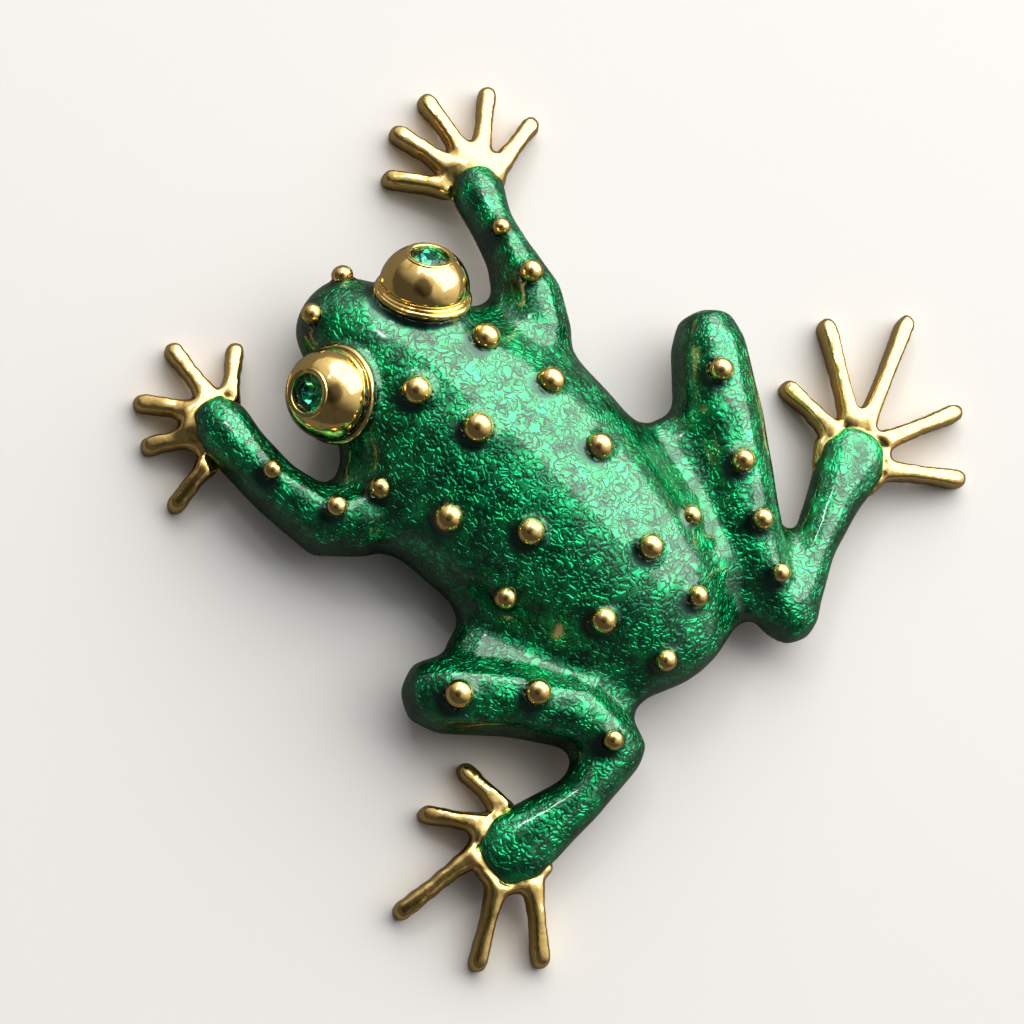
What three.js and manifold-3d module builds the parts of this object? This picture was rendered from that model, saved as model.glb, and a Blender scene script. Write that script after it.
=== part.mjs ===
// Enamelled frog brooch: a gold-plated casting with a hollow back, five fields of green enamel,
// gold studs, two gold eye cups with faceted stones, and a pin with a turning safety catch.
// Millimetres, +Z up (away from the cloth), +Y towards the snout, +X to the frog's right.
import * as THREE from "three";
import { mergeVertices } from "three/addons/utils/BufferGeometryUtils.js";
import Module from "manifold-3d";

const wasm = await Module();
wasm.setup();

// ---------------------------------------------------------------- driving dimensions
const GAP = 0.06; // between two pieces that touch
const ENAMEL = 0.55; // depth of the enamel over the metal
const BACK = 1.6; // height of the flat back of the casting
const LIP = 0.45; // gold edge that the enamel stands on
const WALL = 1.25; // metal over the hollow
const CENTRE = [1.436, 2.58]; // middle of the outline, from the frog's own midline
const REST = 0.136; // lowest level of the digits, from the frog's own base

// Trunk and head: y, x of the middle, half width, height of the top.
const TRUNK_MIDDLE = 3.0; // height of the widest level
const TRUNK = [
  [-12.0, -0.4, 4.5, 6.9],
  [-9.5, 0.1, 6.3, 8.3],
  [-6.0, 0.2, 7.4, 9.4],
  [-2.0, 0.1, 8.2, 10.1],
  [2.0, 0.0, 8.8, 10.3],
  [5.5, 0.0, 8.9, 10.3],
  [8.8, 0.0, 8.2, 9.9],
  [12.0, 0.0, 6.7, 9.3],
  [15.0, -0.2, 5.3, 8.7],
  [17.4, -0.4, 4.0, 7.9],
  [18.4, -0.5, 3.3, 7.2],
];
const TRUNK_ENDS = [2.3, 2.5]; // how far the rump and the snout reach past the last stations

// Limbs: x, y, z of the middle, half width, half height, from the trunk outwards.
const ARM_RIGHT = [
  [7.9, 8.4, 3.0, 2.6, 4.0],
  [9.7, 10.8, 3.1, 2.3, 3.7],
  [10.9, 13.7, 3.0, 1.5, 2.9],
  [11.7, 15.9, 2.8, 1.45, 2.5],
  [12.8, 18.1, 2.5, 1.85, 2.1],
];
const ARM_LEFT = [
  [-8.6, 8.2, 3.0, 2.5, 3.6],
  [-10.7, 10.0, 3.0, 2.3, 3.4],
  [-11.2, 13.6, 2.9, 1.85, 3.1],
  [-11.0, 17.0, 2.7, 1.85, 2.7],
  [-10.6, 19.1, 2.5, 1.95, 2.3],
];
const LEG_RIGHT = [
  [16.0, 0.1, 3.2, 2.5, 3.6],
  [12.7, -3.9, 3.2, 3.1, 4.0],
  [9.0, -9.0, 3.1, 2.9, 3.8],
  [7.2, -12.8, 2.9, 2.3, 3.1],
  [6.8, -15.9, 2.6, 2.1, 2.6],
];
const HIP_RIGHT = [
  [9.5, -2.5, 2.6, 1.8, 2.7],
  [8.2, -6.0, 2.6, 2.4, 3.2],
  [6.4, -9.8, 2.6, 2.2, 2.9],
  [5.6, -11.9, 2.4, 1.6, 2.3],
];
const HIP_LEFT = [
  [-9.8, -2.6, 2.6, 1.7, 2.6],
  [-8.4, -5.4, 2.6, 2.1, 3.1],
  [-6.4, -8.9, 2.6, 2.0, 2.8],
  [-5.4, -11.2, 2.4, 1.4, 2.2],
];
const LEG_LEFT = [
  [-13.4, -3.1, 3.2, 2.6, 3.6],
  [-10.3, -6.7, 3.2, 2.5, 3.9],
  [-8.0, -10.3, 3.0, 2.5, 3.6],
  [-7.7, -13.7, 2.6, 2.0, 2.7],
];
const FOOT_RIGHT = [
  [7.1, -15.7, 2.6, 2.0, 2.4],
  [11.4, -14.1, 2.5, 1.5, 2.2],
  [14.8, -12.9, 2.4, 1.9, 2.1],
  [17.6, -12.1, 2.3, 2.5, 1.9],
];
const FOOT_LEFT = [
  [-7.9, -13.8, 2.6, 1.9, 2.5],
  [-11.8, -14.2, 2.5, 1.7, 2.3],
  [-14.4, -13.8, 2.4, 2.1, 2.1],
  [-17.1, -13.4, 2.3, 2.65, 1.9],
];

// Gold hands and feet: palm x, y and radius, then each digit's root and tip.
const PALM_Z = 2.25;
const PALM_HALF_HEIGHT = 1.1;
const DIGIT_ROOT_Z = 2.0;
const DIGIT_TIP_Z = 0.85;
const DIGIT_RADIUS = 0.8;
const PAWS = [
  {
    palm: [13.6, 18.8, 2.1],
    digits: [
      [12.0, 19.0, 9.65, 22.8],
      [12.8, 19.9, 12.25, 24.6],
      [14.0, 20.2, 15.25, 24.8],
      [14.9, 19.7, 18.6, 22.3],
      [15.2, 18.2, 19.2, 18.8],
    ],
  },
  {
    palm: [-10.9, 19.4, 2.3],
    digits: [
      [-9.2, 19.6, -6.1, 21.9],
      [-9.8, 20.6, -9.0, 24.7],
      [-10.9, 20.5, -12.9, 23.7],
      [-11.9, 19.4, -14.6, 21.4],
      [-12.5, 17.9, -16.1, 17.5],
    ],
  },
  {
    palm: [17.6, -12.1, 2.85],
    digits: [
      [18.1, -10.2, 18.55, -5.8],
      [19.4, -10.5, 23.6, -4.8],
      [20.0, -11.2, 27.7, -8.5],
      [20.2, -12.8, 25.5, -15.0],
      [18.8, -14.2, 22.3, -18.2],
    ],
  },
  {
    palm: [-17.2, -13.4, 3.0],
    digits: [
      [-15.7, -11.3, -15.4, -7.8],
      [-17.2, -11.0, -19.2, -7.9],
      [-18.8, -11.8, -24.8, -11.0],
      [-19.2, -14.0, -23.8, -16.8],
      [-17.6, -15.6, -20.8, -19.6],
    ],
  },
];

// Studs: x, y of the seat and radius of the bead.
const STUD_SINK = 0.3; // depth of a shank in the metal
const STUDS = {
  nostril_right: [1.35, 20.0, 0.72],
  nostril_left: [-2.0, 19.6, 0.68],
  nape_right: [4.1, 10.6, 0.95],
  nape_left: [-1.7, 11.3, 0.95],
  back_upper: [-0.9, 6.9, 1.0],
  shoulder_right: [4.9, 5.7, 0.92],
  shoulder_left: [-5.9, 4.3, 0.92],
  waist_right: [3.9, 0.6, 0.9],
  waist_left: [-3.2, 0.0, 0.88],
  rump_upper: [1.6, -6.1, 0.85],
  flank_left: [-6.7, -1.8, 0.75],
  rump_left: [-3.6, -7.2, 0.85],
  rump_right: [1.9, -10.5, 0.72],
  rump_end: [-2.2, -11.9, 0.72],
  neck_left: [-7.1, 8.7, 0.75],
  flank_right: [5.6, -6.7, 0.7],
  thigh_right_knee: [14.2, -1.6, 0.8],
  thigh_right_middle: [10.8, -6.7, 0.78],
  thigh_right_low: [9.0, -10.2, 0.72],
  shin_right: [7.5, -13.5, 0.65],
  thigh_left_knee: [-13.3, -3.9, 0.92],
  thigh_left_middle: [-9.7, -7.4, 0.86],
  shin_left: [-8.2, -13.0, 0.7],
  arm_right_low: [11.2, 15.1, 0.6],
  arm_right_high: [10.1, 11.6, 0.78],
  arm_left_low: [-11.1, 14.4, 0.6],
  arm_left_high: [-10.0, 9.9, 0.7],
};

// Eyes: middle of the base, and the way the stone faces.
const EYES = {
  right: { base: [3.85, 15.55, 6.95], faces: [0.54, 0.46, 0.7] },
  left: { base: [-4.95, 14.95, 6.65], faces: [-0.6, 0.43, 0.67] },
};
const EYE_FLANGE = 3.2; // radius of the ring at the foot of the cup
const EYE_BODY = 3.0; // radius of the round body
const EYE_HEIGHT = 2.8;
const STONE_RADIUS = 1.5;
const STONE_DEPTH = 0.45; // girdle below the bezel's edge
const BEZEL_OPENING = 1.33;
const BEZEL_RADIUS = 1.68;
const EYE_SIDES = 18;

// Pin findings, along the midline.
const PIN_Z = 1.4; // height of the pin's wire
const WIRE = 0.45; // radius of the wire
const HINGE_Y = -10.0;
const CATCH_Y = 10.0;
const FLOOR = 3.3; // height of the two seats in the back
const SEAT_WIDTH = 5.2;
const RIVET = 0.4;
const EAR = 0.6; // thickness of a hinge ear
const EYELET = 1.0; // thickness of the pin's eyelet
const EYELET_RADIUS = 0.95;
const CATCH_LENGTH = 2.0;
const CATCH_RADIUS = PIN_Z;
const LEVER = 1.8; // reach of the catch's thumb lever from the pin's line

// ---------------------------------------------------------------- materials
const gold = new THREE.MeshStandardMaterial({ color: 0xe3b04b, metalness: 1, roughness: 0.2 });
const enamel = new THREE.MeshStandardMaterial({ color: 0x0b6b3c, metalness: 0.3, roughness: 0.1 });
const stone = new THREE.MeshStandardMaterial({ color: 0x12a070, metalness: 0, roughness: 0.03 });
const steel = new THREE.MeshStandardMaterial({ color: 0xd9c07a, metalness: 1, roughness: 0.25 });

// ---------------------------------------------------------------- solids from geometries
/** A closed geometry as a manifold solid. */
function solid(geometry) {
  const bare = new THREE.BufferGeometry();
  const whole = geometry.index ? geometry.toNonIndexed() : geometry;
  bare.setAttribute("position", whole.getAttribute("position").clone());
  const merged = mergeVertices(bare, 1e-4);
  const kept = [];
  for (let i = 0; i < merged.index.count; i += 3) {
    const [a, b, c] = [0, 1, 2].map((k) => merged.index.getX(i + k));
    if (a !== b && b !== c && c !== a) kept.push(a, b, c);
  }
  return new wasm.Manifold(
    new wasm.Mesh({
      numProp: 3,
      vertProperties: new Float32Array(merged.getAttribute("position").array),
      triVerts: new Uint32Array(kept),
    }),
  );
}

/** A manifold solid as a geometry. */
function geometryOf(body) {
  const made = body.getMesh();
  const places = new Float32Array(made.numVert * 3);
  for (let i = 0; i < made.numVert; i++)
    places.set(made.vertProperties.subarray(i * made.numProp, i * made.numProp + 3), i * 3);
  const geometry = new THREE.BufferGeometry();
  geometry.setAttribute("position", new THREE.BufferAttribute(places, 3));
  geometry.setIndex(new THREE.BufferAttribute(made.triVerts, 1));
  return geometry;
}

const join = (bodies) => bodies.reduce((whole, body) => whole.add(body));
const cut = (body, tools) => tools.reduce((rest, tool) => rest.subtract(tool), body);

/** A box between two corners. */
function block(low, high) {
  const size = high.map((value, k) => value - low[k]);
  const geometry = new THREE.BoxGeometry(...size);
  geometry.translate(...high.map((value, k) => (value + low[k]) / 2));
  return solid(geometry);
}

/** Everything above a level, over the whole brooch. */
const above = (level) => block([-40, -40, level], [40, 40, 30]);

/** A cylinder along X or Y. */
function rod(axis, middle, radius, length, sides = 16) {
  const geometry = new THREE.CylinderGeometry(radius, radius, length, sides);
  if (axis === "x") geometry.rotateZ(Math.PI / 2);
  geometry.translate(...middle);
  return solid(geometry);
}

/** A body with elliptical sections along a smooth line, closed by round ends.
 * Each station is x, y, z, half width and half height; inset shrinks every section. The ends
 * reach past the first and last stations by the given lengths, or by the half width there. */
function loft(stations, { sides = 10, steps = 1, cap = 2, inset = 0, ends = null } = {}) {
  const line = new THREE.CatmullRomCurve3(stations.map(([x, y, z]) => new THREE.Vector3(x, y, z)));
  const girth = new THREE.CatmullRomCurve3(
    stations.map((s, i) => new THREE.Vector3(s[3], s[4], i)),
  );
  const rings = [];
  const ring = (middle, along, halfWidth, halfHeight) => {
    const side = new THREE.Vector3(along.y, -along.x, 0).normalize();
    const points = [];
    for (let k = 0; k < sides; k++) {
      const turn = (2 * Math.PI * k) / sides;
      points.push(
        middle
          .clone()
          .addScaledVector(side, halfWidth * Math.cos(turn))
          .add(new THREE.Vector3(0, 0, halfHeight * Math.sin(turn))),
      );
    }
    rings.push(points);
  };
  const span = (stations.length - 1) * steps;
  const at = (t) => {
    const size = girth.getPoint(t);
    return [line.getPoint(t), line.getTangent(t), size.x - inset, size.y - inset];
  };
  const reach = (t) => (ends ? ends[t] - inset : at(t)[2]) * (t ? 1 : -1);
  const poles = [0, 1].map((t) => at(t)[0].addScaledVector(at(t)[1], reach(t)));
  const capRing = (t, k) => {
    const [middle, along, halfWidth, halfHeight] = at(t);
    const tilt = (Math.PI / 2) * (k / cap);
    middle.addScaledVector(along, reach(t) * Math.cos(tilt));
    ring(middle, along, halfWidth * Math.sin(tilt), halfHeight * Math.sin(tilt));
  };
  for (let k = 1; k < cap; k++) capRing(0, k);
  for (let k = 0; k <= span; k++) ring(...at(k / span));
  for (let k = cap - 1; k > 0; k--) capRing(1, k);
  const places = [poles[0], ...rings.flat(), poles[1]].flatMap((p) => p.toArray());
  const last = rings.length * sides + 1;
  const faces = [];
  for (let k = 0; k < sides; k++) {
    const next = (k + 1) % sides;
    faces.push(0, 1 + next, 1 + k);
    for (let r = 0; r + 1 < rings.length; r++) {
      const [a, b] = [1 + r * sides + k, 1 + r * sides + next];
      faces.push(a, b, a + sides, b, b + sides, a + sides);
    }
    faces.push(last - sides + k, last - sides + next, last);
  }
  const geometry = new THREE.BufferGeometry();
  geometry.setAttribute("position", new THREE.Float32BufferAttribute(places, 3));
  geometry.setIndex(faces);
  const body = solid(geometry);
  return body.volume() < 0 ? turnedOut(geometry) : body;
}

/** The same geometry with its faces turned to point outwards. */
function turnedOut(geometry) {
  const faces = Array.from(geometry.index.array);
  for (let i = 0; i < faces.length; i += 3) [faces[i + 1], faces[i + 2]] = [faces[i + 2], faces[i + 1]];
  return solid(geometry.clone().setIndex(faces));
}

/** The profile of a plain bar between two heights. */
const bar = (radius, low, high) => [[0, low], [radius, low], [radius, high], [0, high]];

/** A profile of [radius, height] pairs turned round a line from a point along a direction. */
function turned(profile, sides, from, along) {
  const geometry = new THREE.LatheGeometry(
    profile.map(([radius, height]) => new THREE.Vector2(radius, height)),
    sides,
  );
  const turn = new THREE.Quaternion().setFromUnitVectors(new THREE.Vector3(0, 1, 0), along);
  geometry.applyQuaternion(turn);
  geometry.translate(...from.toArray());
  return solid(geometry);
}

// ---------------------------------------------------------------- the frog's body
const trunkStations = TRUNK.map(([y, x, halfWidth, top]) => [
  x,
  y,
  TRUNK_MIDDLE,
  halfWidth,
  top - TRUNK_MIDDLE,
]);
const forms = {
  back: { stations: trunkStations, sides: 20, cap: 3, ends: TRUNK_ENDS },
  arm_right: { stations: ARM_RIGHT },
  arm_left: { stations: ARM_LEFT },
  leg_right: { stations: LEG_RIGHT },
  leg_left: { stations: LEG_LEFT },
  hip_right: { stations: HIP_RIGHT, sides: 8 },
  hip_left: { stations: HIP_LEFT, sides: 8 },
  foot_right: { stations: FOOT_RIGHT },
  foot_left: { stations: FOOT_LEFT },
};
const form = (name, inset) => loft(forms[name].stations, { ...forms[name], inset });
/** A form's metal under the enamel, with flatter faces. */
const core = (name, inset) =>
  loft(forms[name].stations, { ...forms[name], inset, sides: name === "back" ? 14 : 6, cap: 2 });
const FIELDS = {
  back: ["back"],
  arm_right: ["arm_right"],
  arm_left: ["arm_left"],
  leg_right: ["leg_right", "foot_right", "hip_right"],
  leg_left: ["leg_left", "foot_left", "hip_left"],
};
const everyForm = Object.keys(forms);
const skin = join(everyForm.map((name) => form(name, 0)));
const metal = join(everyForm.map((name) => core(name, ENAMEL)));
const metalClear = join(everyForm.map((name) => core(name, ENAMEL - GAP)));

/** A gold hand or foot: a flattened palm with five round-tipped digits. */
function paw({ palm: [x, y, radius], digits }, grow = 0) {
  const disc = new THREE.SphereGeometry(1, 10, 6);
  disc.rotateX(Math.PI / 2);
  disc.scale(radius + grow, radius + grow, PALM_HALF_HEIGHT + grow);
  disc.translate(x, y, PALM_Z);
  const size = DIGIT_RADIUS + grow;
  const rods = digits.map(([x0, y0, x1, y1]) =>
    loft(
      [
        [x0, y0, DIGIT_ROOT_Z, size, size],
        [(x0 + x1) / 2, (y0 + y1) / 2, (DIGIT_ROOT_Z + DIGIT_TIP_Z) / 2 + 0.15, size * 0.88, size * 0.95],
        [x1, y1, DIGIT_TIP_Z, size, size],
      ],
      { sides: 6 },
    ),
  );
  return join([solid(disc), ...rods]);
}
const paws = join(PAWS.map((each) => paw(each)));
const pawsClear = join(PAWS.map(({ palm: [x, y, radius], digits }) =>
  paw({ palm: [x, y, radius], digits }, GAP)));

// The hollow under the trunk, and a seat at each end of it for the pin findings.
const hollow = loft(trunkStations, { ...forms.back, sides: 14, inset: ENAMEL + WALL })
  .intersect(block([-20, -8.3, -5], [20, 8.4, 20]));
const seat = (y, halfLength) =>
  block([-SEAT_WIDTH / 2, y - halfLength, -5], [SEAT_WIDTH / 2, y + halfLength, FLOOR]);
const backCuts = [hollow, seat(HINGE_Y, 1.9), seat(CATCH_Y + 0.3, 2.1)];

// ---------------------------------------------------------------- studs
const skinMesh = new THREE.Mesh(
  geometryOf(skin),
  new THREE.MeshBasicMaterial({ side: THREE.DoubleSide }),
);
const ray = new THREE.Raycaster();

/** The point of the skin over x, y, and the way that the skin faces there. */
function seatOn(x, y) {
  ray.set(new THREE.Vector3(x, y, 30), new THREE.Vector3(0, 0, -1));
  const [hit] = ray.intersectObject(skinMesh);
  const lean = hit.face.normal.clone().add(new THREE.Vector3(0, 0, 0.35)).normalize();
  return { point: hit.point, lean };
}

/** A domed bead whose shank goes through the enamel into the metal. */
function stud([x, y, radius], grow = 0) {
  const { point, lean } = seatOn(x, y);
  const depth = -(ENAMEL + STUD_SINK + grow);
  if (grow) return turned(bar(radius + grow, depth, 3), 8, point, lean);
  const profile = [
    [0, depth],
    [radius * 0.95, depth],
    [radius, radius * 0.2],
    [radius * 0.84, radius * 0.72],
    [radius * 0.48, radius * 1.06],
    [0, radius * 1.18],
  ];
  return turned(profile, 8, point, lean);
}
const studBodies = Object.fromEntries(
  Object.entries(STUDS).map(([name, place]) => [name, stud(place)]),
);
const studClear = Object.values(STUDS).map((place) => stud(place, GAP));

// ---------------------------------------------------------------- eyes
/** The turned cup of an eye: a flange, a round body and a bezel that holds the stone. */
function eyeCup({ base, faces }, grow = 0) {
  const along = new THREE.Vector3(...faces).normalize();
  const from = new THREE.Vector3(...base);
  const outside = [
    [0, -1.0 - grow],
    [EYE_FLANGE * 0.7 + grow, -1.0 - grow],
    [EYE_FLANGE + grow, -0.2 - grow],
    [EYE_FLANGE + grow, 0.25 + grow],
    [EYE_BODY * 0.97 + grow, 0.42 + grow],
    [EYE_BODY + grow, 0.85],
    [EYE_BODY * 0.94 + grow, 1.45],
    [EYE_BODY * 0.79 + grow, 2.05],
    [BEZEL_RADIUS + 0.12 + grow, 2.5],
    [BEZEL_RADIUS + grow, EYE_HEIGHT + grow],
  ];
  if (grow) return turned([...outside, [0, EYE_HEIGHT + grow]], EYE_SIDES, from, along);
  const pocket = [
    [BEZEL_OPENING, EYE_HEIGHT],
    [STONE_RADIUS + 0.03, EYE_HEIGHT - 0.25],
    [STONE_RADIUS + 0.03, EYE_HEIGHT - STONE_DEPTH - 0.06],
    [0.2, EYE_HEIGHT - 1.6],
    [0, EYE_HEIGHT - 1.6],
  ];
  return turned([...outside, ...pocket], EYE_SIDES, from, along);
}

/** A faceted chaton stone: flat table, crown, girdle and pointed pavilion. */
function eyeStone({ base, faces }) {
  const along = new THREE.Vector3(...faces).normalize();
  const girdle = new THREE.Vector3(...base).addScaledVector(along, EYE_HEIGHT - STONE_DEPTH);
  const profile = [
    [0, -0.95],
    [STONE_RADIUS, -0.03],
    [STONE_RADIUS, 0.06],
    [STONE_RADIUS * 0.56, 0.55],
    [0, 0.55],
  ];
  return turned(profile, 8, girdle, along);
}
const eyeClear = Object.values(EYES).map((eye) => eyeCup(eye, GAP));

// ---------------------------------------------------------------- casting and enamel
const casting = cut(
  join([metal, skin.subtract(above(BACK + LIP))]).intersect(above(BACK)).add(paws),
  [...backCuts, ...studClear, ...eyeClear],
);

/** The enamel of one field, standing on the lip and round the studs, eyes and hands. */
function enamelField(name) {
  const own = join(FIELDS[name].map((each) => form(each, 0))).intersect(above(BACK + LIP + GAP));
  const others = name === "back" ? [] : [form("back", -GAP)];
  return cut(own, [...others, metalClear, pawsClear, ...studClear, ...eyeClear]);
}

/** The largest body of a solid, without the crumbs that cutting leaves. */
function mainBody(body) {
  return body.decompose().reduce((most, each) => (each.volume() > most.volume() ? each : most));
}

// ---------------------------------------------------------------- pin findings
/** The hinge bracket: a plate under the hinge seat with two ears. */
function hingeBracket() {
  const earAt = (side) => {
    const middle = side * (EYELET / 2 + GAP + EAR / 2);
    return join([
      rod("x", [middle, HINGE_Y, PIN_Z], EYELET_RADIUS, EAR),
      block(
        [middle - EAR / 2, HINGE_Y - EYELET_RADIUS, PIN_Z],
        [middle + EAR / 2, HINGE_Y + EYELET_RADIUS, FLOOR - 0.5],
      ),
    ]);
  };
  const plate = block([-1.7, HINGE_Y - 1.5, FLOOR - 0.6], [1.7, HINGE_Y + 1.5, FLOOR - GAP]);
  const bore = rod("x", [0, HINGE_Y, PIN_Z], RIVET + GAP, 6);
  return join([plate, earAt(-1), earAt(1)]).subtract(bore);
}

/** The rivet that the pin turns on, with a flat head at each end. */
function hingeRivet() {
  const reach = EYELET / 2 + GAP + EAR + GAP;
  const head = (side) => rod("x", [side * (reach + 0.12), HINGE_Y, PIN_Z], 0.68, 0.24);
  return join([rod("x", [0, HINGE_Y, PIN_Z], RIVET, 2 * reach + 0.2), head(-1), head(1)]);
}

/** The pin: an eyelet, a straight wire and a sharp point. */
function pinStem() {
  const pointEnd = CATCH_Y + 2.3;
  const pointStart = pointEnd - 2.6;
  const profile = [
    [0, 0],
    [WIRE, 0],
    [WIRE, pointStart - HINGE_Y],
    [WIRE * 0.75, (pointStart + pointEnd) / 2 - HINGE_Y],
    [0, pointEnd - HINGE_Y],
  ];
  const wire = turned(profile, 12, new THREE.Vector3(0, HINGE_Y, PIN_Z), new THREE.Vector3(0, 1, 0));
  const eyelet = rod("x", [0, HINGE_Y, PIN_Z], EYELET_RADIUS, EYELET);
  const bore = rod("x", [0, HINGE_Y, PIN_Z], RIVET + GAP, 4);
  return join([eyelet, wire]).subtract(bore);
}

/** A sleeve round the pin's line, open downwards by a slot of the given width. */
function sleeve(y0, y1, outer, inner, slot) {
  const middle = [0, (y0 + y1) / 2, PIN_Z];
  const shell = rod("y", middle, outer, y1 - y0, 20);
  const bore = rod("y", middle, inner, y1 - y0 + 2, 20);
  const way = block([-slot / 2, y0 - 1, -5], [slot / 2, y1 + 1, PIN_Z]);
  return cut(shell, [bore, way]);
}
const catchEnds = [CATCH_Y - CATCH_LENGTH / 2, CATCH_Y + CATCH_LENGTH / 2];
const rotorOuter = CATCH_RADIUS - 0.38 - GAP;

/** The fixed part of the catch: an open sleeve under a plate. */
function catchHousing() {
  const shell = sleeve(...catchEnds, CATCH_RADIUS, CATCH_RADIUS - 0.38, 1.2);
  const post = block(
    [-0.8, catchEnds[0], PIN_Z + CATCH_RADIUS - 0.25],
    [0.8, catchEnds[1], FLOOR - 0.3],
  );
  const plate = block(
    [-1.7, CATCH_Y - 1.4, FLOOR - 0.45],
    [1.7, CATCH_Y + 1.4, FLOOR - GAP],
  );
  return join([shell, post, plate]);
}

/** The turning part of the catch: a slotted sleeve with a thumb lever at its outer end. */
function catchRotor() {
  const outerEnd = catchEnds[1] + 0.75;
  const tube = sleeve(catchEnds[0] + 0.1, outerEnd, rotorOuter, WIRE + 0.14, 1.05);
  const leverStart = catchEnds[1] + 0.12;
  const lever = block([0.7, leverStart, PIN_Z - 0.25], [LEVER, outerEnd, PIN_Z + 0.25]);
  const knob = rod("y", [LEVER, (leverStart + outerEnd) / 2, PIN_Z], 0.32, outerEnd - leverStart, 10);
  return join([tube, lever, knob]);
}

// ---------------------------------------------------------------- assembly
const frog = new THREE.Group();
frog.position.set(-CENTRE[0], -CENTRE[1], -REST);

function add(name, body, material) {
  const mesh = new THREE.Mesh(geometryOf(mainBody(body)), material);
  mesh.name = name;
  frog.add(mesh);
}

add("body_casting", casting, gold);
for (const name of Object.keys(FIELDS)) add(`enamel_${name}`, enamelField(name), enamel);
for (const [name, body] of Object.entries(studBodies)) add(`stud_${name}`, body, gold);
for (const [side, eye] of Object.entries(EYES)) {
  add(`eye_cup_${side}`, eyeCup(eye), gold);
  add(`eye_stone_${side}`, eyeStone(eye), stone);
}
add("hinge_bracket", hingeBracket(), gold);
add("hinge_rivet", hingeRivet(), gold);
add("pin_stem", pinStem(), steel);
add("catch_housing", catchHousing(), gold);
add("catch_rotor", catchRotor(), gold);

const brooch = new THREE.Group();
brooch.add(frog);

export default brooch;
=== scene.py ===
"""Looks of the enamelled frog brooch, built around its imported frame.

The casting and its coat of enamel are modelled in clay: the frame's own solids are
turned into distances on a grid, joined, filleted and softened there, and turned back
into fine meshes. Studs, eyes and pin fittings are turned or built piece by piece.
All lengths are in metres.
"""

from __future__ import annotations

import logging
import math
from dataclasses import dataclass, field
from enum import Enum

import bpy
import numpy as np
import openvdb
from mathutils import Matrix, Vector


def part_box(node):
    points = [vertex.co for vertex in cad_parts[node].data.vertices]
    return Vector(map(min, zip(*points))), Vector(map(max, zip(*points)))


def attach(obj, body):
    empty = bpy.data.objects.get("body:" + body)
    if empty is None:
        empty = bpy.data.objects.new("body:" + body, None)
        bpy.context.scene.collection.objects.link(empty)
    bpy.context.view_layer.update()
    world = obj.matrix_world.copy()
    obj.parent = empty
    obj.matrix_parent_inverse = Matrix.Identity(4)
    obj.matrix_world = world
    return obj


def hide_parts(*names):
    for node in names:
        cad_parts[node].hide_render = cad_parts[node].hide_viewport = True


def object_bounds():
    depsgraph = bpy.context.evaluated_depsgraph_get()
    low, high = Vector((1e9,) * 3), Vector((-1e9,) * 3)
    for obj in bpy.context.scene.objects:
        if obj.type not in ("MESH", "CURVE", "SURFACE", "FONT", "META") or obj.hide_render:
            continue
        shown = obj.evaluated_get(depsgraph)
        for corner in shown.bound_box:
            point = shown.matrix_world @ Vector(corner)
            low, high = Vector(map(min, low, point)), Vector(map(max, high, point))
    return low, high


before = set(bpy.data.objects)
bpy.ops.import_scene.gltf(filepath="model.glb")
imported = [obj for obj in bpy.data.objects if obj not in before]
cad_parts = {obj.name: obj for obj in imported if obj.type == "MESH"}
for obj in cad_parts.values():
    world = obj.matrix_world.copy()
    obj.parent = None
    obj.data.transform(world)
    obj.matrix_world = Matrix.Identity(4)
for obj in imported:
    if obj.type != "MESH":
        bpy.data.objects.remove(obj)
CAD_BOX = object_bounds()

MM = 0.001
LOG = logging.getLogger("brooch")

Points = np.ndarray
Faces = np.ndarray
Colour = tuple[float, float, float]


class Slot(Enum):
    """The record's material slots."""

    CASTING = "casting"
    STUDS = "studs"
    EYE_CUPS = "eye_cups"
    FINDINGS = "findings"
    PIN = "pin_wire"
    ENAMEL = "green_enamel"
    STONE = "green_stone"


class Body(Enum):
    """The frame's moving bodies."""

    BROOCH = "brooch"
    PIN = "pin"
    CATCH = "catch"


# --------------------------------------------------------------------------- frame helpers


def node_points(name: str) -> Points:
    """The vertices of a frame node.

    Args:
        name: the node.

    Returns:
        One row of x, y, z for each vertex.
    """
    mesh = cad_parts[name].data
    points = np.empty(len(mesh.vertices) * 3, dtype=np.float32)
    mesh.vertices.foreach_get("co", points)
    return points.reshape(-1, 3)


def node_triangles(name: str) -> Faces:
    """The triangles of a frame node.

    Args:
        name: the node.

    Returns:
        One row of three vertex numbers for each triangle.
    """
    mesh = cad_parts[name].data
    mesh.calc_loop_triangles()
    faces = np.empty(len(mesh.loop_triangles) * 3, dtype=np.int32)
    mesh.loop_triangles.foreach_get("vertices", faces)
    return faces.reshape(-1, 3).astype(np.uint32)


def nodes_named(prefix: str) -> list[str]:
    """The frame's nodes whose names start with a prefix, in order."""
    return sorted(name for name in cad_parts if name.startswith(prefix))


def new_mesh_object(name: str, points: Points, faces: Faces | list, smooth: bool = True) -> bpy.types.Object:
    """Makes an object from points and faces.

    Args:
        name: the piece's name.
        points: one row for each vertex.
        faces: vertex numbers of each face.
        smooth: whether its faces are shaded smooth.

    Returns:
        The new object, linked into the scene.
    """
    mesh = bpy.data.meshes.new(name)
    mesh.from_pydata(np.asarray(points, dtype=float).tolist(), [], [list(map(int, f)) for f in faces])
    mesh.validate()
    mesh.update()
    mesh.shade_smooth() if smooth else mesh.shade_flat()
    piece = bpy.data.objects.new(name, mesh)
    bpy.context.scene.collection.objects.link(piece)
    return piece


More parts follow.
